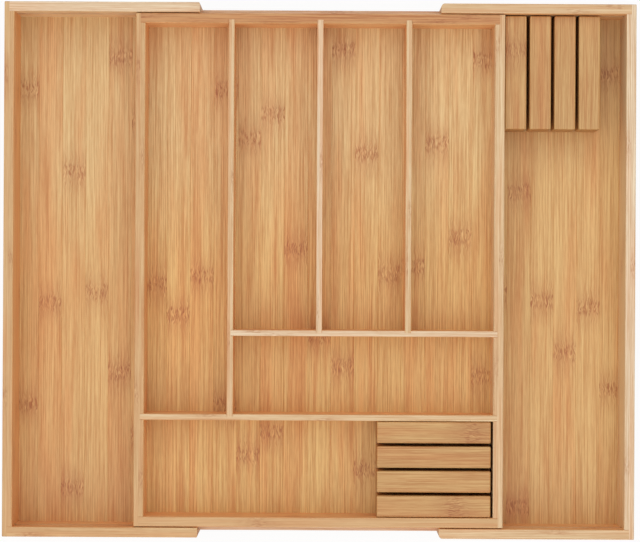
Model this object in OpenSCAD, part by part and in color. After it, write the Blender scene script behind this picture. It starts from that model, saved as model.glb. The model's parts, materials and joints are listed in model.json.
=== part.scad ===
// Expanding bamboo drawer organiser: a divided centre tray, two sliding wings and two loose knife blocks.
// Millimetres. +X is right, +Y is the back and +Z is up. The origin is on the drawer bottom, at the centre.
// The wings are drawn fully open.

/* [Overall] */
// Front-to-back size over the wing walls
depth = 432; // [360:1:520]
// Height from the drawer bottom to the rims
height = 60; // [50:1:75]
// Thickness of every frame wall
wall_t = 8; // [6.5:0.5:10]
// Thickness of the three floor boards
floor_t = 4; // [3:0.1:5]
// Radius rounded onto every exposed edge
ease_r = 0.8; // [0.4:0.1:1]

/* [Centre tray] */
// Outside width of the centre tray
tray_w = 298; // [248:1:360]
// Thickness of the dividers
divider_t = 5; // [4:0.5:6]
// Clear depth of the bay along the front
front_bay = 78; // [68:1:96]
// Clear depth of the crosswise bay behind it
cross_bay = 63; // [50:1:76]
// Depth of the skirt below the tray floor, which the stop cleats catch on
skirt_h = 5; // [4:0.5:8]

/* [Wings] */
// How far each wing slides, from open to closed
wing_travel = 97; // [80:1:116]
// Gap between a wing wall and the tray wall beside it
side_gap = 0.8; // [0.5:0.1:1.2]
// Gap left between a wing's outer wall and the tray when it is closed
closed_gap = 1; // [0.5:0.1:2]
// Gap left between the two wings' ends when both are closed
meeting_gap = 1; // [0.5:0.1:3]
// Height of the wing floors above the drawer bottom
wing_floor_lift = 1.5; // [1:0.1:3]
// Corner radius on the free ends of the left wing's walls
left_end_r = 1; // [1:0.5:3]
// Corner radius on the free ends of the right wing's walls
right_end_r = 3; // [1:0.5:4]

/* [Guides and stops] */
// Height of the guide rails
rail_h = 6; // [4:0.5:8]
// How far the guide rails stand out from the tray
rail_proud = 4; // [3:0.5:4.5]
// Distance from the rims down to the top of the guide rails
rail_drop = 19; // [12:1:24]
// Width of the stop cleats on the wing floors
cleat_w = 12; // [10:1:16]
// Shank diameter of the stop screws
screw_d = 2.5; // [2:0.1:3]

/* [Knife blocks] */
// Length of a knife block, which is the length of its slots
block_l = 92; // [80:1:110]
// Width of the knife slots
slot_w = 2.6; // [2:0.1:4]
// Thickness of a block's base board
block_base_t = 8; // [6:0.5:12]
// How far the tops of the blocks lie below the tray's rims
block_below_rim = 1.5; // [0.5:0.5:8]
// Gap between the front bay's block and the tray's right wall
block_end_gap = 1.8; // [1:0.1:6]

/* [Hidden] */
$fn = 48;

// Fits and joints
slide_gap = 0.5;       // between the tray's walls and the wing floors that pass under them
rail_gap = 0.4;        // above, below and beside a rail in its groove
cleat_gap = 0.6;       // between a stop cleat and the tray floor above it
stop_gap = 0.3;        // between a stop cleat and the skirt at full opening
block_gap = 0.5;       // each side of a knife block in the front bay
seat_gap = 0.2;        // under a knife block that stands loose in its bay
lip = wall_t / 2;      // wood left beside a corner rebate
floor_groove = wall_t / 2;
floor_play = 0.5;      // between a floor's edge and the bottom of its groove
wall_housing = 3;      // depth of the housing that a divider's end has in a wall
cross_housing = 2;     // depth of the housing that it has in another divider
rail_let_in = 2;       // depth of the groove that a rail is glued into
rail_inset = 2;        // from a corner rebate to the end of a rail
rail_end_r = 1;        // corner radius on the rails' ends
cleat_inset = 4;       // from the tray's end walls to the ends of a cleat
screw_inset = 45;      // from the ends of a cleat to its outer screws
screw_cover = 1;       // wood left over the tip of a screw
recess_l = 2;          // size of the cross recess in a screw's head
recess_w = 0.5;
recess_depth = 0.8;
slat_housing = 1.5;    // depth of the seat that a slat has in its base board
over = 1;              // how far a cut runs past the face that it starts from

floor_tongue = floor_groove - floor_play;

// Centre tray
tray_d = depth - 2 * (wall_t + side_gap);
wing_floor_top = wing_floor_lift + floor_t;
tray_z = wing_floor_top + slide_gap;
tray_h = height - tray_z;
tray_floor_z = tray_z + skirt_h;
tray_floor_top = tray_floor_z + floor_t;
inner_x = tray_w / 2 - wall_t;
inner_y = tray_d / 2 - wall_t;
bay_w = (2 * inner_x - 3 * divider_t) / 4;
divider_h = height - tray_floor_top;
divider_x = [for (i = [1:3]) -inner_x + i * bay_w + (i - 1) * divider_t];
long_cross_y = -inner_y + front_bay;
short_cross_y = long_cross_y + divider_t + cross_bay;

// Wings
closed_w = tray_w + 2 * (closed_gap + wall_t);
open_w = closed_w + 2 * wing_travel;
arm_l = (closed_w - meeting_gap) / 2;
arm_end_x = open_w / 2 - arm_l;
wing_inner_x = open_w / 2 - wall_t;
wing_inner_y = depth / 2 - wall_t;
rail_z = height - rail_drop - rail_h;
rail_l = tray_w - 2 * (lip + rail_inset);
rail_groove = rail_proud - side_gap + rail_gap;
cleat_h = tray_floor_z - cleat_gap - wing_floor_top;
cleat_l = 2 * (inner_y - cleat_inset);
cleat_x = inner_x - stop_gap - cleat_w;
screw_x = cleat_x + cleat_w / 2;
screw_pitch = cleat_l / 2 - screw_inset;
screw_head_r = screw_d;
screw_l = floor_t + cleat_h - screw_cover;

// Knife blocks
block_w = front_bay - 2 * block_gap;
slat_w = (block_w - 3 * slot_w) / 4;
block_h = height - block_below_rim - tray_floor_top - seat_gap;
slat_z = block_base_t - slat_housing;

// ---- shapes that the pieces share ----

// Cross-section of a board that stands on edge, with both rim edges rounded
module rim_profile(t, h) {
    square([t, h - ease_r]);
    translate([ease_r, 0]) square([t - 2 * ease_r, h]);
    for (x = [ease_r, t - ease_r]) translate([x, h - ease_r]) circle(ease_r);
}

// Board on edge along +X, from the origin
module board_x(l, t, h) {
    rotate([90, 0, 90]) linear_extrude(l) rim_profile(t, h);
}

// Board on edge along +Y, from the origin
module board_y(l, t, h) {
    translate([0, l, 0]) rotate([90, 0, 0]) linear_extrude(l) rim_profile(t, h);
}

// Rectangle from the origin with all four corners rounded
module rounded_plan(size, r) {
    translate([r, 0]) square([size.x - 2 * r, size.y]);
    translate([0, r]) square([size.x, size.y - 2 * r]);
    for (x = [r, size.x - r], y = [r, size.y - r]) translate([x, y]) circle(r);
}

// Board from the origin with all four sides in view, so that its rim and its upright corners are rounded
module eased_board(size) {
    intersection() {
        board_y(size.y, size.x, size.z);
        board_x(size.x, size.y, size.z);
        linear_extrude(size.z) rounded_plan([size.x, size.y], ease_r);
    }
}

// Side wall along Y, of length l, with its inner face at x = 0. The rebates at its ends take the end walls
module rebated_wall(l, z, h) {
    difference() {
        translate([0, -l / 2, z]) eased_board([wall_t, l, h]);
        for (s = [0, 1]) mirror([0, s, 0])
            translate([-over, l / 2 - wall_t, z - over])
                cube([over + wall_t - lip, wall_t + over, h + 2 * over]);
    }
}

// Groove along Y for a floor board's edge, cut into a wall's inner face at x = 0
module groove_y(l, z) {
    translate([-over, -l / 2 - over, z]) cube([over + floor_groove, l + 2 * over, floor_t]);
}

// Groove along +X from the origin, cut into a wall's inner face at y = 0
module groove_x(l, z, deep, h) {
    translate([-over, -over, z]) cube([l + 2 * over, over + deep, h]);
}

// ---- centre tray ----

// Floor board, with a tongue on every side in the walls' grooves
module tray_floor() {
    half = [inner_x + floor_tongue, inner_y + floor_tongue];
    color("burlywood") translate([-half.x, -half.y, tray_floor_z]) cube([2 * half.x, 2 * half.y, floor_t]);
}

// Side wall on the right, with a housing for each cross divider that ends in it
module tray_side_wall(cross_dividers_y) {
    translate([inner_x, 0, 0]) difference() {
        rebated_wall(tray_d, tray_z, tray_h);
        groove_y(2 * inner_y, tray_floor_z);
        for (y = cross_dividers_y)
            translate([-over, y, tray_floor_top]) cube([over + wall_housing, divider_t, tray_h]);
    }
}

module tray_left_wall() {
    color("tan") mirror([1, 0, 0]) tray_side_wall([long_cross_y]);
}

module tray_right_wall() {
    color("tan") tray_side_wall([short_cross_y, long_cross_y]);
}

// End wall at the back, rebated into the side walls, with a groove outside for its guide rail
module tray_end_wall(dividers_x) {
    l = tray_w - 2 * lip;
    difference() {
        translate([-l / 2, inner_y, tray_z]) board_x(l, wall_t, tray_h);
        translate([-l / 2, inner_y, 0]) groove_x(l, tray_floor_z, floor_groove, floor_t);
        for (x = dividers_x)
            translate([x, inner_y - over, tray_floor_top]) cube([divider_t, over + wall_housing, tray_h]);
        translate([-rail_l / 2, tray_d / 2 - rail_let_in, rail_z])
            cube([rail_l, rail_let_in + over, rail_h]);
    }
}

module tray_back_wall() {
    color("sandybrown") tray_end_wall(divider_x);
}

module tray_front_wall() {
    color("tan") mirror([0, 1, 0]) tray_end_wall([]);
}

// The lengthwise dividers run back from a cross divider to the back wall
module lengthwise_divider(i, front_y) {
    start_y = front_y + divider_t - cross_housing;
    translate([divider_x[i], start_y, tray_floor_top])
        board_y(inner_y + wall_housing - start_y, divider_t, divider_h);
}

module left_divider() {
    color("wheat") difference() {
        lengthwise_divider(0, long_cross_y);
        translate([divider_x[0] + divider_t - cross_housing, short_cross_y, tray_floor_top - over])
            cube([cross_housing + over, divider_t, divider_h + 2 * over]);
    }
}

module middle_divider() {
    color("wheat") lengthwise_divider(1, short_cross_y);
}

module right_divider() {
    color("wheat") lengthwise_divider(2, short_cross_y);
}

module short_cross_divider() {
    start_x = divider_x[0] + divider_t - cross_housing;
    color("wheat") difference() {
        translate([start_x, short_cross_y, tray_floor_top])
            board_x(inner_x + wall_housing - start_x, divider_t, divider_h);
        for (i = [1, 2]) divider_end_housing(divider_x[i], short_cross_y);
    }
}

module long_cross_divider() {
    color("wheat") difference() {
        translate([-inner_x - wall_housing, long_cross_y, tray_floor_top])
            board_x(2 * (inner_x + wall_housing), divider_t, divider_h);
        divider_end_housing(divider_x[0], long_cross_y);
    }
}

// Housing in the back face of a cross divider, for the end of a lengthwise one
module divider_end_housing(x, y) {
    translate([x, y + divider_t - cross_housing, tray_floor_top - over])
        cube([divider_t, cross_housing + over, divider_h + 2 * over]);
}

// Rail at the back, glued into its groove, on which the wings' arms slide
module guide_rail() {
    translate([-rail_l / 2, tray_d / 2 - rail_let_in, rail_z])
        linear_extrude(rail_h) rounded_plan([rail_l, rail_let_in + rail_proud], rail_end_r);
}

module back_guide_rail() {
    color("peru") guide_rail();
}

module front_guide_rail() {
    color("peru") mirror([0, 1, 0]) guide_rail();
}

// ---- wings, drawn on the right and mirrored for the left ----

// Floor that passes under the tray. Its free edge is flush with the arms' ends
module wing_floor() {
    difference() {
        translate([arm_end_x, -wing_inner_y - floor_tongue, wing_floor_lift])
            cube([wing_inner_x + floor_tongue - arm_end_x, 2 * (wing_inner_y + floor_tongue), floor_t]);
        screw_row() screw_shape();
    }
}

module wing_outer_wall() {
    translate([wing_inner_x, 0, 0]) difference() {
        rebated_wall(depth, 0, height);
        groove_y(2 * wing_inner_y, wing_floor_lift);
    }
}

// Arm at the back that runs beside the tray, grooved for its floor and for the guide rail
module wing_arm(end_r) {
    l = open_w / 2 - lip - arm_end_x;
    translate([arm_end_x, wing_inner_y, 0]) difference() {
        intersection() {
            board_x(l, wall_t, height);
            linear_extrude(height) arm_plan(l, end_r);
        }
        groove_x(l, wing_floor_lift, floor_groove, floor_t);
        groove_x(wing_inner_x - arm_end_x - over, rail_z - rail_gap, rail_groove, rail_h + 2 * rail_gap);
    }
}

// Plan of an arm whose free end, at x = 0, has a rounded outer corner
module arm_plan(l, end_r) {
    square([l, wall_t - end_r]);
    translate([end_r, 0]) square([l - end_r, wall_t]);
    translate([end_r, wall_t - end_r]) circle(end_r);
}

// Strip across the wing floor that catches on the skirt of the tray's side wall
module wing_stop_cleat() {
    difference() {
        translate([cleat_x, -cleat_l / 2, wing_floor_top]) cube([cleat_w, cleat_l, cleat_h]);
        screw_row() screw_shape();
    }
}

module wing_stop_screws() {
    screw_row() difference() {
        screw_shape();
        for (a = [0, 90]) rotate(a)
            translate([-recess_l / 2, -recess_w / 2, -over])
                cube([recess_l, recess_w, over + recess_depth]);
    }
}

// The places of the screws, which go up through the floor into the cleat
module screw_row() {
    for (i = [-1:1]) translate([screw_x, i * screw_pitch, wing_floor_lift]) children();
}

// Countersunk screw with its head's face at z = 0. Its hole is the same size, because the thread bites
module screw_shape() {
    cylinder(h = screw_head_r - screw_d / 2, r1 = screw_head_r, r2 = screw_d / 2);
    cylinder(h = screw_l, d = screw_d);
}

module left_side() {
    mirror([1, 0, 0]) children();
}

module left_wing_floor() {
    color("burlywood") left_side() wing_floor();
}

module left_wing_outer_wall() {
    color("tan") left_side() wing_outer_wall();
}

module left_wing_back_wall() {
    color("tan") left_side() wing_arm(left_end_r);
}

module left_wing_front_wall() {
    color("tan") left_side() mirror([0, 1, 0]) wing_arm(left_end_r);
}

module left_wing_stop_cleat() {
    color("peru") left_side() wing_stop_cleat();
}

module left_wing_stop_screws() {
    color("silver") left_side() wing_stop_screws();
}

module right_wing_floor() {
    color("burlywood") wing_floor();
}

module right_wing_outer_wall() {
    color("tan") wing_outer_wall();
}

module right_wing_back_wall() {
    color("tan") wing_arm(right_end_r);
}

module right_wing_front_wall() {
    color("tan") mirror([0, 1, 0]) wing_arm(right_end_r);
}

module right_wing_stop_cleat() {
    color("peru") wing_stop_cleat();
}

module right_wing_stop_screws() {
    color("silver") wing_stop_screws();
}

// ---- knife blocks, drawn lengthwise on X with a corner at the origin ----

function slat_y(i) = i * (slat_w + slot_w);

// Base board with a seat for each slat. The outer seats are open at the board's long sides
module block_base() {
    difference() {
        linear_extrude(block_base_t) rounded_plan([block_l, block_w], ease_r);
        for (i = [0:3]) {
            y0 = i == 0 ? -over : slat_y(i);
            y1 = i == 3 ? block_w + over : slat_y(i) + slat_w;
            translate([-over, y0, slat_z]) cube([block_l + 2 * over, y1 - y0, slat_housing + over]);
        }
    }
}

// Slat i, counted from the front, standing in its seat on the base board
module block_slat(i) {
    translate([0, slat_y(i), slat_z]) eased_board([block_l, slat_w, block_h - slat_z]);
}

// Place of the block in the front bay, at the tray's right wall
module in_front_bay() {
    place = [inner_x - block_end_gap - block_l, -inner_y + block_gap, tray_floor_top + seat_gap];
    translate(place) children();
}

// Place of the block in the right wing, turned so that its slots run front to back
module in_right_wing() {
    place = [tray_w / 2 + side_gap + block_w, wing_inner_y - side_gap - block_l, wing_floor_top + seat_gap];
    translate(place) rotate(90) children();
}

module tray_block_base() {
    color("burlywood") in_front_bay() block_base();
}

module tray_block_slat(i) {
    color("burlywood") in_front_bay() block_slat(i);
}

module wing_block_base() {
    color("burlywood") in_right_wing() block_base();
}

module wing_block_slat(i) {
    color("burlywood") in_right_wing() block_slat(i);
}

tray_floor();
tray_left_wall();
tray_right_wall();
tray_front_wall();
tray_back_wall();
left_divider();
middle_divider();
right_divider();
short_cross_divider();
long_cross_divider();
front_guide_rail();
back_guide_rail();
left_wing_floor();
left_wing_outer_wall();
left_wing_front_wall();
left_wing_back_wall();
left_wing_stop_cleat();
left_wing_stop_screws();
right_wing_floor();
right_wing_outer_wall();
right_wing_front_wall();
right_wing_back_wall();
right_wing_stop_cleat();
right_wing_stop_screws();
tray_block_base();
tray_block_slat(0);  // tray_block_slat_1
tray_block_slat(1);  // tray_block_slat_2
tray_block_slat(2);  // tray_block_slat_3
tray_block_slat(3);  // tray_block_slat_4
wing_block_base();
wing_block_slat(0);  // wing_block_slat_1
wing_block_slat(1);  // wing_block_slat_2
wing_block_slat(2);  // wing_block_slat_3
wing_block_slat(3);  // wing_block_slat_4
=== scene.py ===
# %% [markdown]
# # An expanding bamboo drawer organiser
#
# The organiser is a divided centre tray, two wings that slide out from under it, and two loose knife blocks.
# Its walls and dividers are plain boards with eased edges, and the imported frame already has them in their
# right shape. What makes it look like bamboo is the finish, so that is where most of the cells go. Two kinds
# of piece are built anew, because each is a row of equal boards: the glued-up floors and the knife blocks.

# %% Load the frame
import json
import math

import bpy
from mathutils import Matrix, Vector


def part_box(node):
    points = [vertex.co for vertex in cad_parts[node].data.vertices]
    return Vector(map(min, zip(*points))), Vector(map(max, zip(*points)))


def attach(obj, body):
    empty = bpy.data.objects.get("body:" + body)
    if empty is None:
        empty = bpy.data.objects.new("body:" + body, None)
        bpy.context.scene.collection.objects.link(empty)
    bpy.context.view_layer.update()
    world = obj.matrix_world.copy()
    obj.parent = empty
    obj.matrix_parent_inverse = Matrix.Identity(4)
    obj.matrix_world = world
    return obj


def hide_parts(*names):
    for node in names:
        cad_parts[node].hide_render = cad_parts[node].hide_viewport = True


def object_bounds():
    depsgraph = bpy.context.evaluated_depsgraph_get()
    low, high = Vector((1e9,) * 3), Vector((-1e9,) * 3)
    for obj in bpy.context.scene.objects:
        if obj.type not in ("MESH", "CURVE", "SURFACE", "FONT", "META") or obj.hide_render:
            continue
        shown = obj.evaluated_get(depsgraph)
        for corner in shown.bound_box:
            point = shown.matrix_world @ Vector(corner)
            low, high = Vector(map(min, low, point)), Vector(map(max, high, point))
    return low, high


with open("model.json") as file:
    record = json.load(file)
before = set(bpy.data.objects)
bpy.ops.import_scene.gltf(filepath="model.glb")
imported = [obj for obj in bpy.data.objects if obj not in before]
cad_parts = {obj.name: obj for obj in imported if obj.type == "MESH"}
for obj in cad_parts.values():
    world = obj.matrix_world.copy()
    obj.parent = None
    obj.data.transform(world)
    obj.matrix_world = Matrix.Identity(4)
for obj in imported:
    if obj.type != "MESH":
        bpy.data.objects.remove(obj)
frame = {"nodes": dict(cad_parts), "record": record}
cad_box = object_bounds()
nodes = frame["nodes"]
body_of = {node: body for body, members in frame["record"]["behaviour"]["bodies"].items() for node in members}
MM = 0.001

# %% [markdown]
# ## The view
#
# A drawer insert is shown best from straight above, where its layout reads like a plan. A long lens from far
# away keeps the walls upright, so that only a sliver of each inner face shows. The focal length follows from
# the distance and from the width that the view takes in at the height of the rims. A roll of a fraction of a
# degree keeps the view from looking drawn with a ruler.

# %% Camera
RIM_HEIGHT = cad_box[1][2]
VIEW_DISTANCE = 2.4
VIEW_WIDTH = 0.5162
AIM_X = 0.0006
AIM_Y = -0.0004
ROLL = math.radians(0.3)
SENSOR = 36.0

camera_data = bpy.data.cameras.new("overhead_camera")
camera_data.sensor_width = SENSOR
camera_data.lens = SENSOR * VIEW_DISTANCE / VIEW_WIDTH
camera = bpy.data.objects.new("overhead_camera", camera_data)
bpy.context.scene.collection.objects.link(camera)
camera.location = (AIM_X, AIM_Y, RIM_HEIGHT + VIEW_DISTANCE)
camera.rotation_euler = (0, 0, ROLL)
bpy.context.scene.camera = camera
print("lens", round(camera_data.lens, 1), "mm")

# %% [markdown]
# ## The light
#
# The inside of a box is lit by the sky that each point can see. A weak white dome darkens the floors softly
# towards every wall. Over it hangs a long softbox that runs from far in front to a little behind. Its light
# comes down the length of the bays that run from front to back, and the bays that lie across it get less, so
# that the two kinds are told apart. It hangs a little to the left, which gives the left wall of each bay the
# deeper shade. Both lights are white: the warm tint in the corners comes from light that bounces between the
# boards. The dome's strength lights the wood, and camera and mirror rays see it as plain white.

# %% Dome and softbox
DOME = 0.42
SOFTBOX_WIDTH = 2.8
SOFTBOX_LENGTH = 12.0
SOFTBOX_PLACE = (-0.15, -3.2, 2.75)
SOFTBOX_RADIANCE = 1.32

scene = bpy.context.scene
scene.view_settings.view_transform = "Standard"
world = bpy.data.worlds.new("white_dome")
scene.world = world
world.use_nodes = True
sky = world.node_tree.nodes
wires = world.node_tree.links
background = sky["Background"]
background.inputs["Color"].default_value = (1, 1, 1, 1)
ray = sky.new("ShaderNodeLightPath")
seen = None
for kind in ("Is Camera Ray", "Is Glossy Ray", "Is Transmission Ray"):
    either = sky.new("ShaderNodeMath")
    either.operation = "MAXIMUM"
    either.inputs[1].default_value = 0.0
    wires.new(ray.outputs[kind], either.inputs[0])
    if seen:
        wires.new(seen, either.inputs[1])
    seen = either.outputs[0]
strength = sky.new("ShaderNodeMapRange")
strength.inputs["To Min"].default_value = DOME
strength.inputs["To Max"].default_value = 1.0
wires.new(seen, strength.inputs["Value"])
wires.new(strength.outputs["Result"], background.inputs["Strength"])

softbox_data = bpy.data.lights.new("softbox", "AREA")
softbox_data.shape = "RECTANGLE"
softbox_data.size = SOFTBOX_WIDTH
softbox_data.size_y = SOFTBOX_LENGTH
softbox_data.energy = SOFTBOX_RADIANCE * math.pi * SOFTBOX_WIDTH * SOFTBOX_LENGTH
softbox = bpy.data.objects.new("softbox", softbox_data)
scene.collection.objects.link(softbox)
softbox.location = SOFTBOX_PLACE
print("dome", DOME, "softbox", round(softbox_data.energy), "W")

# %% [markdown]
# ## Shader sums as Python
#
# A procedural finish is mostly arithmetic on coordinates. Written with nodes one at a time it is hard to
# read, so two small classes turn it into Python. `Value` wraps a socket, and its operators add the Math
# nodes. `Finish` is one material, and its `add` makes any other node from its type, its settings and its
# sockets.

# %% Value and Finish
class Value:
    """An output socket that takes part in sums."""

    def __init__(self, finish, socket):
        self.finish = finish
        self.socket = socket

    def out(self, name):
        return Value(self.finish, self.socket.node.outputs[name])

    def sum(self, operation, *numbers):
        return self.finish.add("Math", {"operation": operation}, enumerate(numbers))

    def __add__(self, other):
        return self.sum("ADD", self, other)

    __radd__ = __add__

    def __sub__(self, other):
        return self.sum("SUBTRACT", self, other)

    def __rsub__(self, other):
        return self.sum("SUBTRACT", other, self)

    def __mul__(self, other):
        return self.sum("MULTIPLY", self, other)

    __rmul__ = __mul__

    def __truediv__(self, other):
        return self.sum("DIVIDE", self, other)

    def __abs__(self):
        return self.sum("ABSOLUTE", self)

    def floor(self):
        return self.sum("FLOOR", self)

    def fraction(self):
        return self.sum("FRACT", self)

    def step(self, start, end):
        """0 before start and 1 after end, with a smooth rise, or a fall where end is the lower."""
        rising = start < end
        ends = {"From Min": min(start, end), "From Max": max(start, end),
                "To Min": 0.0 if rising else 1.0, "To Max": 1.0 if rising else 0.0}
        return self.finish.add("MapRange", {"interpolation_type": "SMOOTHSTEP"}, {"Value": self, **ends})


class Finish:
    """A material under construction."""

    def __init__(self, name):
        self.material = bpy.data.materials.new(name)
        self.material.use_nodes = True
        self.tree = self.material.node_tree
        self.tree.nodes.clear()

    def add(self, kind, settings=(), sockets=()):
        node = self.tree.nodes.new("ShaderNode" + kind)
        for setting, value in dict(settings).items():
            setattr(node, setting, value)
        for name, value in dict(sockets).items():
            if isinstance(value, Value):
                self.tree.links.new(value.socket, node.inputs[name])
            else:
                node.inputs[name].default_value = value
        return Value(self, node.outputs[0]) if node.outputs else None

    def mix(self, factor, a, b, blend="MIX"):
        """Two colours mixed. Sockets 6 and 7 are the Mix node's colours, and output 2 is its colour."""
        mixed = self.add("Mix", {"data_type": "RGBA", "blend_type": blend}, {0: factor, 6: a, 7: b})
        return Value(self, mixed.socket.node.outputs[2])

    def done(self, **sockets):
        names = {name: name.replace("_", " ").title().replace("Ior", "IOR") for name in sockets}
        shader = self.add("BsdfPrincipled", {}, {names[name]: value for name, value in sockets.items()})
        self.add("OutputMaterial", {}, {"Surface": shader})
        return self.material


def paint(red, green, blue):
    """A colour as a painter reads it, 0 to 255, in the linear values that shaders use."""
    def linear(c):
        return c / 12.92 if c <= 0.04045 else ((c + 0.055) / 1.055) ** 2.4
    return [linear(c / 255) for c in (red, green, blue)]


def tinted(colour, tint):
    """A linear colour times a tint, as the four numbers that a colour socket takes."""
    return [c * t for c, t in zip(colour, tint)] + [1.0]


print("tan in linear values", [round(c, 3) for c in paint(214, 168, 116)])

# %% [markdown]
# ## What bamboo board looks like
#
# Bamboo is a hollow grass, so a board is glued up from narrow strips that are cut from the wall of the
# cane. Four things tell it from timber. Its fibres run dead straight and show as fine pale and dark lines.
# Each strip has its own tone, a little more yellow or more pink than the next. Where the cane had a ring, or
# node, the strip has a band of short ruffled dashes, and the bands of neighbouring strips don't line up. A
# sawn end shows the fibre bundles as dots.
#
# One function makes the finish of every board. It is told which way the grain runs, how wide the strips are
# and how thick the layers, and it looks at Object coordinates, so a board keeps its pattern when it moves.
# A pattern in an image would be simpler, but would repeat on every board and blur near by. Fibres, rings and
# dashes are all streaks: noise that is drawn out along the grain, given here by its length and its width.

# %% The bamboo finish
AXES = "XYZ"
FIBRE_DARK = (0.79, 0.62, 0.48)
FIBRE_PALE = (1.12, 1.20, 1.28)
PINK = (0.97, 0.80, 0.70)
RING_DARK = (0.72, 0.51, 0.38)
RING_PALE = (1.18, 1.26, 1.36)
SAWN = (0.74, 0.66, 0.58)
WHITE = (1, 1, 1)

# streaks as (length, width), in mm, and how far apart in the noise the strips may take theirs from
BROAD = (130.0, 7.0)
MIDDLE = (80.0, 2.0)
FINE = (60.0, 0.72)
HAIR = (10.0, 0.6)
BLUSH = (110.0, 9.0)
DASH = (5.0, 0.7)
RING_EDGE = (30.0, 3.5)
RIPPLE = (8.0, 3.0)
SPOT_ALONG = 90
SPOT_ACROSS = 40

# a ring's band of dashes and its cloud, as distances from its middle in mm: none of it, all of it
RING_BAND = (8.5, 3.5)
RING_CLOUD = (26.0, 3.0)
RING_WANDER = 9
SWAY = 3.5
BUNDLE = 0.8

# where the painted sheen of light starts to make a long panel paler, and where it is full, from its middle in
# mm
SHEEN_FROM = -40.0
SHEEN_FULL_AT = 130.0

# surfaces that face one way, and the nudge that keeps a board's low edge out of the strip before it
FACING = (0.6, 0.8)
FACING_END = (0.6, 0.9)
NUDGE = 0.001
MM_PER_M = 1000


def bamboo(name, tone, grain, strips_along, start, strip, layer, seed, fibre=1.0, strip_spread=1.0,
           ring_spacing=260.0, ring_strength=1.0, roughness=0.46, face_tone=None, painted_sheen_tone=None):
    """grain and strips_along are axis letters, start is the board's low corner, strip and layer are in mm.
    face_tone is the tone of the board's wide faces, where it differs from that of its edges, and the tone
    given for a long panel's back end is a painted sheen of light, which makes the panel paler towards the
    back."""
    finish = Finish(name)
    through = (set(AXES) - {grain, strips_along}).pop()
    here = finish.add("SeparateXYZ", {}, {0: finish.add("TexCoord").out("Object")})
    along = here.out(grain) * MM_PER_M
    wide = here.out(strips_along) * MM_PER_M - start[AXES.index(strips_along)] * MM_PER_M
    deep = here.out(through) * MM_PER_M - start[AXES.index(through)] * MM_PER_M

    # one random triple for each strip of each layer
    cell = finish.add("CombineXYZ", {}, {0: (wide / strip + NUDGE).floor(), 1: (deep / layer + NUDGE).floor(),
                                         2: float(seed)})
    chance = finish.add("TexWhiteNoise", {"noise_dimensions": "3D"}, {"Vector": cell})
    three = finish.add("SeparateColor", {}, {0: chance.out("Color")})
    shade, hue, place = three.out("Red"), three.out("Green"), three.out("Blue")

    def streaks(across, length, width):
        """Noise drawn out along the grain, from another spot for each strip. Its values lie around 0."""
        where = finish.add("CombineXYZ", {}, {0: along / length + place * SPOT_ALONG,
                                              1: across / width + shade * SPOT_ACROSS, 2: deep / width})
        noise = finish.add("TexNoise", {"noise_dimensions": "3D"},
                           {"Vector": where, "Scale": 1.0, "Detail": 1.0, "Roughness": 0.6})
        return noise - 0.5

    # how near this point is to its strip's ring, and how far the fibres sway there
    wander = streaks(wide, *RING_EDGE) * RING_WANDER
    turn = ((along + wander + place * ring_spacing) / ring_spacing).fraction()
    distance = abs(turn - 0.5) * ring_spacing
    band = distance.step(*RING_BAND) * ring_strength
    cloud = distance.step(*RING_CLOUD) * ring_strength
    swayed = wide + streaks(wide, *RIPPLE) * cloud * SWAY

    normal = finish.add("SeparateXYZ", {}, {0: finish.add("TexCoord").out("Normal")})
    base = tinted(tone, WHITE)
    # painted sheen of light: a long panel grows paler towards its back end
    if painted_sheen_tone:
        base = finish.mix(along.step(SHEEN_FROM, SHEEN_FULL_AT), base, tinted(painted_sheen_tone, WHITE))
    if face_tone:
        on_face = abs(normal.out(through)).step(*FACING)
        base = finish.mix(on_face, base, tinted(face_tone, WHITE))

    # four widths of streak add up to the fibres, and a wide faint one turns the wood pinker here and there
    broad = streaks(wide, *BROAD)
    middle = streaks(swayed, *MIDDLE)
    fine = streaks(swayed, *FINE)
    hair = streaks(swayed, *HAIR)
    lightness = 0.5 + fibre * (broad * 0.60 + middle * 0.45 + fine * 2.7 + hair * 1.1)
    lightness = lightness + (shade - 0.5) * 0.15 * strip_spread
    tint = finish.mix(lightness.step(-0.35, 1.35), tinted(FIBRE_DARK, WHITE), tinted(FIBRE_PALE, WHITE))
    colour = finish.mix(1.0, base, tint, "MULTIPLY")
    pinkness = 0.1 + (hue - 0.5) * 0.6 * strip_spread + streaks(wide, *BLUSH) * 2.8
    colour = finish.mix(pinkness.step(-0.3, 1.0), colour, tinted(PINK, WHITE), "MULTIPLY")

    # the ring: a faint reddish cloud with short dashes in it, some dark and some pale
    dash = streaks(swayed, *DASH)
    colour = finish.mix(cloud * 0.42, colour, tinted(RING_DARK, WHITE), "MULTIPLY")
    colour = finish.mix(band * dash.step(-0.02, 0.12) * 0.95, colour, tinted(RING_DARK, WHITE), "MULTIPLY")
    colour = finish.mix(band * dash.step(-0.04, -0.22) * 0.9, colour, tinted(RING_PALE, WHITE), "MULTIPLY")

    # sawn ends, where the surface faces along the grain
    sawn = abs(normal.out(grain)).step(*FACING_END)
    bundle_place = finish.add("CombineXYZ", {}, {0: wide / BUNDLE, 1: deep / BUNDLE})
    bundles = finish.add("TexVoronoi", {"feature": "F1"}, {"Vector": bundle_place, "Scale": 1.0})
    dots = bundles.step(0.42, 0.2)
    colour = finish.mix(sawn * (0.45 + dots * 0.5), colour, tinted(SAWN, WHITE), "MULTIPLY")

    height = fine * 0.6 + hair * 0.5 - band * dash * 0.4 - sawn * dots * 0.5
    bump = finish.add("Bump", {}, {"Strength": 0.35, "Distance": 0.00012, "Height": height})
    return finish.done(base_color=colour, roughness=roughness + sawn * 0.2 - fine * 0.15, normal=bump)


print("the bamboo finish is ready")

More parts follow.
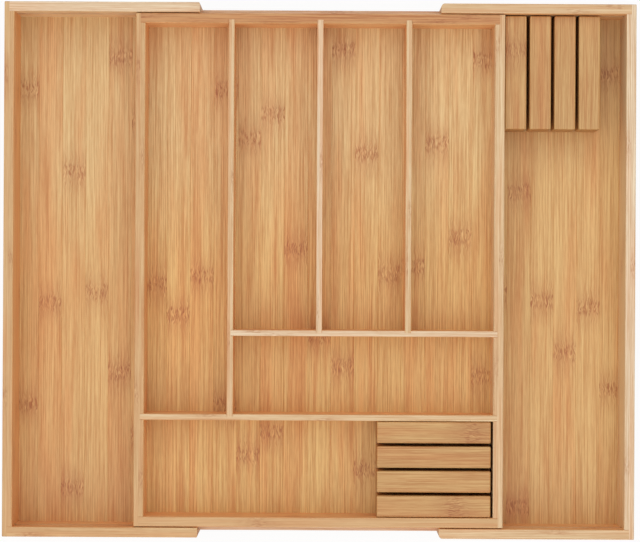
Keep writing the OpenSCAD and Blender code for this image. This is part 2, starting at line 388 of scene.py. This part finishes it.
# %% [markdown]
# ## Rows of boards
#
# A glued-up floor is a row of equal strips, edge to edge, and a knife block is a row of equal slats with gaps
# for the blades. One Geometry Nodes tree makes both: points on a line, and a board on each point. Its inputs
# are named, and nothing in it is random, so it needs no seed. A Bevel modifier then eases the edges, and the
# result is kept as a plain mesh.

# %% The row tree
def row_tree():
    tree = bpy.data.node_groups.new("row_of_boards", "GeometryNodeTree")
    sockets = [("Board size", "NodeSocketVector"), ("First board", "NodeSocketVector"),
               ("Pitch", "NodeSocketVector"), ("Boards", "NodeSocketInt"),
               ("Finish", "NodeSocketMaterial")]
    for name, kind in sockets:
        tree.interface.new_socket(name, in_out="INPUT", socket_type=kind)
    tree.interface.new_socket("Geometry", in_out="OUTPUT", socket_type="NodeSocketGeometry")

    def add(kind, **links):
        node = tree.nodes.new(kind)
        for name, value in links.items():
            socket = node.inputs[name.replace("_", " ")]
            if isinstance(value, bpy.types.NodeSocket):
                tree.links.new(value, socket)
            else:
                socket.default_value = value
        return node

    given = add("NodeGroupInput").outputs
    line = add("GeometryNodeMeshLine", Count=given["Boards"], Start_Location=given["First board"],
               Offset=given["Pitch"])
    line.mode = "OFFSET"
    board = add("GeometryNodeMeshCube", Size=given["Board size"])
    row = add("GeometryNodeInstanceOnPoints", Points=line.outputs[0], Instance=board.outputs[0])
    real = add("GeometryNodeRealizeInstances", Geometry=row.outputs[0])
    painted = add("GeometryNodeSetMaterial", Geometry=real.outputs[0], Material=given["Finish"])
    result = add("NodeGroupOutput")
    tree.links.new(painted.outputs[0], result.inputs[0])
    return tree


ROWS = row_tree()
SOCKETS = {item.name: item.identifier for item in ROWS.interface.items_tree if item.in_out == "INPUT"}
print("row tree inputs", list(SOCKETS))


# %% [markdown]
# The inputs of a modifier are set by the sockets' identifiers, before the object is evaluated for the first
# time. `new_from_object` then freezes what the modifiers made, and the finished piece keeps none of them.

# %% Freezing a row
def make_row(name, ease, ease_steps, cutter=None, **inputs):
    """Builds one row as a plain mesh object at the origin, less the cutter."""
    carrier = bpy.data.objects.new("carrier", bpy.data.meshes.new("carrier"))
    scene.collection.objects.link(carrier)
    rows = carrier.modifiers.new("rows", "NODES")
    rows.node_group = ROWS
    for given, value in inputs.items():
        rows[SOCKETS[given.replace("_", " ").capitalize()]] = value
    bevel = carrier.modifiers.new("eased", "BEVEL")
    bevel.width = ease
    bevel.segments = ease_steps
    bevel.limit_method = "ANGLE"
    if cutter:
        holes = carrier.modifiers.new("holes", "BOOLEAN")
        holes.operation = "DIFFERENCE"
        holes.solver = "EXACT"
        holes.object = cutter
    depsgraph = bpy.context.evaluated_depsgraph_get()
    mesh = bpy.data.meshes.new_from_object(carrier.evaluated_get(depsgraph))
    bpy.data.objects.remove(carrier)
    mesh.name = name
    piece = bpy.data.objects.new(name, mesh)
    scene.collection.objects.link(piece)
    for polygon in mesh.polygons:
        polygon.use_smooth = False
    print(name, len(mesh.polygons), "faces")
    return piece


# %% [markdown]
# ## The floors
#
# Each floor is a panel of strips, all with the grain from front to back. The finish takes the same strip
# width as the geometry, so that every tone change falls on a glue line, and two of the panels grow paler
# towards the back, which is a painted sheen of light. The wings' floors have three countersunk holes each. A
# cutter with the screws' own shape makes them, placed by the box of the screws.

# %% The cutter for screw holes
HEAD_R = 2.5 * MM
SHANK_R = 1.25 * MM
OVERSHOOT = 0.3 * MM
SIDES = 24


def screw_cutter(screws, floor_top):
    """Three screw shapes in a row from front to back, through the floor and just out of both sides of it."""
    start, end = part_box(screws)
    outline = [(HEAD_R + OVERSHOOT, start.z - OVERSHOOT),
               (SHANK_R, start.z + HEAD_R - SHANK_R),
               (SHANK_R, floor_top + OVERSHOOT)]
    middle = (start.x + end.x) / 2
    points = []
    faces = []
    for place in (start.y + HEAD_R, (start.y + end.y) / 2, end.y - HEAD_R):
        first = len(points)
        for radius, z in outline:
            for side in range(SIDES):
                turn = math.tau * side / SIDES
                points.append((middle + radius * math.cos(turn), place + radius * math.sin(turn), z))
        rings = [[first + SIDES * k + side for side in range(SIDES)] for k in range(len(outline))]
        faces += [rings[0][::-1], rings[-1]]
        for below, above in zip(rings, rings[1:]):
            faces += [(below[i - 1], below[i], above[i], above[i - 1]) for i in range(SIDES)]
    mesh = bpy.data.meshes.new("screw_cutter")
    mesh.from_pydata(points, [], faces)
    cutter = bpy.data.objects.new("screw_cutter", mesh)
    scene.collection.objects.link(cutter)
    return cutter


print("head", HEAD_R / MM, "mm, shank", SHANK_R / MM, "mm")

# %% Glued-up floors
TRAY_FLOOR = paint(220, 180, 110)
WING_FLOOR = paint(215, 175, 112)
# the paler tone that two floors take towards their back end is a painted sheen of light
PAINTED_SHEEN_FLOOR = paint(217, 185, 128)
# each floor: its tone, its tone at the back end, where a paler one is a painted sheen of light, and its
# screws
FLOORS = {
    "tray_floor": (TRAY_FLOOR, PAINTED_SHEEN_FLOOR, None),
    "left_wing_floor": (WING_FLOOR, PAINTED_SHEEN_FLOOR, "left_wing_stop_screws"),
    "right_wing_floor": (WING_FLOOR, WING_FLOOR, "right_wing_stop_screws"),
}
STRIP_GOAL = 19.5
STRIP_EASE = 0.12 * MM
GLUE_LINE = 0.02 * MM
ONE_LAYER = 50.0
TRAY_FIBRE = 1.15
WING_FIBRE = 0.95
FLOOR_SEED = 3

for seed, (node, (tone, painted_sheen_tone, screws)) in enumerate(FLOORS.items(), FLOOR_SEED):
    start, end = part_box(node)
    size = end - start
    count = round(size.x / MM / STRIP_GOAL)
    width = size.x / count
    finish = bamboo(node + "_bamboo", tone, "Y", "X", start, width / MM, ONE_LAYER, seed=seed,
                    fibre=WING_FIBRE if screws else TRAY_FIBRE, painted_sheen_tone=painted_sheen_tone)
    cutter = screw_cutter(screws, end.z) if screws else None
    floor = make_row(node + "_strips", STRIP_EASE, 1, cutter, board_size=(width - GLUE_LINE, size.y, size.z),
                     first_board=start + Vector((width, size.y, size.z)) / 2, pitch=Vector((width, 0, 0)),
                     boards=count, finish=finish)
    if cutter:
        bpy.data.objects.remove(cutter)
    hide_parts(node)
    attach(floor, body_of[node])

# %% [markdown]
# ## The walls and dividers
#
# The frame already has these boards with their rebates, grooves and rounded rims. Each gets a finish of its
# own, because each was cut from another panel. A board is two layers thick, and on the rim they show as two
# stripes. The rims come in four tones, from cream to caramel, and the faces in two. On the two right-hand
# walls, whose inner faces look to the left, the paler face tone is painted light from the left. The left
# wing's back wall has the paler face tone too.

# %% Boards of the frame
DEEP_FACE = paint(245, 195, 135)
# a paler face tone, which on the two right-hand walls is painted light from the left
PALE_FACE_AND_PAINTED_LIGHT = paint(245, 220, 175)
CREAM = paint(230, 205, 170)
STRAW = paint(222, 190, 145)
TAN = paint(212, 172, 120)
CARAMEL = paint(195, 140, 85)

BOARDS = {
    "left_wing_outer_wall": ("Y", TAN, DEEP_FACE),
    "left_wing_back_wall": ("X", CREAM, PALE_FACE_AND_PAINTED_LIGHT),
    "left_wing_front_wall": ("X", TAN, DEEP_FACE),
    # the paler tone of this wall's inner face, which looks left, is painted light from the left
    "right_wing_outer_wall": ("Y", CREAM, PALE_FACE_AND_PAINTED_LIGHT),
    "right_wing_back_wall": ("X", STRAW, DEEP_FACE),
    "right_wing_front_wall": ("X", STRAW, DEEP_FACE),
    "tray_left_wall": ("Y", TAN, DEEP_FACE),
    # the paler tone of this wall's inner face, which looks left, is painted light from the left
    "tray_right_wall": ("Y", STRAW, PALE_FACE_AND_PAINTED_LIGHT),
    "tray_front_wall": ("X", TAN, DEEP_FACE),
    "tray_back_wall": ("X", CARAMEL, DEEP_FACE),
    "left_divider": ("Y", STRAW, DEEP_FACE),
    "middle_divider": ("Y", CREAM, DEEP_FACE),
    "right_divider": ("Y", STRAW, DEEP_FACE),
    "short_cross_divider": ("X", CREAM, DEEP_FACE),
    "long_cross_divider": ("X", STRAW, DEEP_FACE),
}

BOARD_STRIP = 18.0
BOARD_LAYERS = 2
BOARD_SEED = 20
PLAIN_GRAIN = 0.75
# boards on which the fibres show less or more than on the rest
GRAIN_CONTRAST = {"left_wing_outer_wall": 0.6, "right_wing_back_wall": 0.6, "tray_front_wall": 0.5,
                  "tray_back_wall": 1.6}

for seed, (node, (grain, rim_tone, face_tone)) in enumerate(BOARDS.items(), BOARD_SEED):
    start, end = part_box(node)
    thickness = min((end - start).x, (end - start).y) / MM
    finish = bamboo(node + "_bamboo", rim_tone, grain, "Z", start, BOARD_STRIP, thickness / BOARD_LAYERS,
                    seed=seed, fibre=GRAIN_CONTRAST.get(node, PLAIN_GRAIN), strip_spread=0.5,
                    ring_strength=0.6, face_tone=face_tone)
    nodes[node].data.materials.clear()
    nodes[node].data.materials.append(finish)
print("finished", len(BOARDS), "boards")

# %% [markdown]
# ## Rails, cleats and screws
#
# The guide rails and the stop cleats are plain strips, about as light as the boards round them, a little
# pinker, and a little glossier because they slide. The screws are zinc plated, which is a grey metal with a
# fine speckle, warmer in some places and cooler in others.

# %% Small parts
RUNNERS = {"front_guide_rail": "X", "back_guide_rail": "X",
           "left_wing_stop_cleat": "Y", "right_wing_stop_cleat": "Y"}
RUNNER_TONE = paint(215, 180, 145)
RUNNER_STRIP = 20.0
RUNNER_SEED = 60

for seed, (node, grain) in enumerate(RUNNERS.items(), RUNNER_SEED):
    start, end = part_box(node)
    finish = bamboo(node + "_bamboo", RUNNER_TONE, grain, "Z", start, RUNNER_STRIP, RUNNER_STRIP, seed=seed,
                    fibre=1.1, strip_spread=0.4, ring_strength=0.7, roughness=0.4)
    nodes[node].data.materials.clear()
    nodes[node].data.materials.append(finish)

print("finished", len(RUNNERS), "runners")

# %% Screws
ZINC_COOL = paint(176, 178, 180)
ZINC_WARM = paint(205, 204, 198)
SPECKLES = 900.0

zinc = Finish("zinc_plate")
speckle = zinc.add("TexNoise", {"noise_dimensions": "3D"},
                   {"Vector": zinc.add("TexCoord").out("Object"), "Scale": SPECKLES, "Detail": 3.0})
plate = zinc.mix(speckle, tinted(ZINC_COOL, WHITE), tinted(ZINC_WARM, WHITE))
zinc_plate = zinc.done(base_color=plate, metallic=1.0, roughness=0.28 + speckle * 0.2)
for node in ("left_wing_stop_screws", "right_wing_stop_screws"):
    nodes[node].data.materials.clear()
    nodes[node].data.materials.append(zinc_plate)
    print(node, "zinc plated")

# %% [markdown]
# ## The knife blocks
#
# Each block is a base board with four slats glued upright on it, and the gaps between them hold the blades.
# The slats are the row tree again, this time with a gap in the pitch and a larger easing, so that each slat
# catches the light along its edges.

# %% Slatted blocks
BLOCKS = {"tray_block": ("X", "Y"), "wing_block": ("Y", "X")}
BLOCK_TONE = paint(200, 155, 95)
BLOCK_LAYER = 60.0
BLOCK_SEED = 80
SLATS = 4
SLAT_EASE = 1.0 * MM
SLAT_EASE_STEPS = 3

for seed, (block, (grain, across)) in enumerate(BLOCKS.items(), BLOCK_SEED):
    slats = [f"{block}_slat_{i + 1}" for i in range(SLATS)]
    corners = [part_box(slat) for slat in slats]
    first = (corners[0][0] + corners[0][1]) / 2
    pitch = (corners[1][0] + corners[1][1]) / 2 - first
    size = corners[0][1] - corners[0][0]
    low_corner = min((low for low, high in corners), key=lambda corner: corner.x + corner.y)
    step = pitch.length / MM
    finish = bamboo(block + "_bamboo", BLOCK_TONE, grain, across, low_corner, step, BLOCK_LAYER, seed=seed,
                    fibre=1.05, strip_spread=0.8, ring_strength=0.9)
    row = make_row(block + "_slats", SLAT_EASE, SLAT_EASE_STEPS, board_size=size, first_board=first,
                   pitch=pitch, boards=SLATS, finish=finish)
    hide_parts(*slats)
    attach(row, body_of[slats[0]])
    base = nodes[block + "_base"]
    base.data.materials.clear()
    base.data.materials.append(finish)

# %% [markdown]
# ## The table
#
# The organiser stands on white. The table is a large plane that keeps part of the soft shadow under the
# walls. For what the camera and mirror-like surfaces see, most of its brightness is its own, so that it stays
# white to the edge of the view.

# %% White table
TABLE_HALF = 6.0
KEPT_SHADOW = 0.08
TABLE_GREY = (0.93, 0.93, 0.93, 1)

table_mesh = bpy.data.meshes.new("white_table")
corners = [(-TABLE_HALF, -TABLE_HALF, 0), (TABLE_HALF, -TABLE_HALF, 0), (TABLE_HALF, TABLE_HALF, 0),
           (-TABLE_HALF, TABLE_HALF, 0)]
table_mesh.from_pydata(corners, [], [(0, 1, 2, 3)])
table = bpy.data.objects.new("white_table", table_mesh)
scene.collection.objects.link(table)
white = Finish("white_table")
rays = white.add("LightPath")
camera_ray = rays.out("Is Camera Ray")
seen = camera_ray.sum("MAXIMUM", camera_ray, rays.out("Is Glossy Ray"))
seen = seen.sum("MAXIMUM", seen, rays.out("Is Transmission Ray"))
matt = white.add("BsdfDiffuse", {}, {"Color": TABLE_GREY})
glow = white.add("Emission", {}, {"Color": (1, 1, 1, 1), "Strength": 1.0})
both = white.add("MixShader", {}, {0: seen * (1 - KEPT_SHADOW), 1: matt, 2: glow})
white.add("OutputMaterial", {}, {"Surface": both})
table_mesh.materials.append(white.material)
print("table", TABLE_HALF * 2, "m wide")
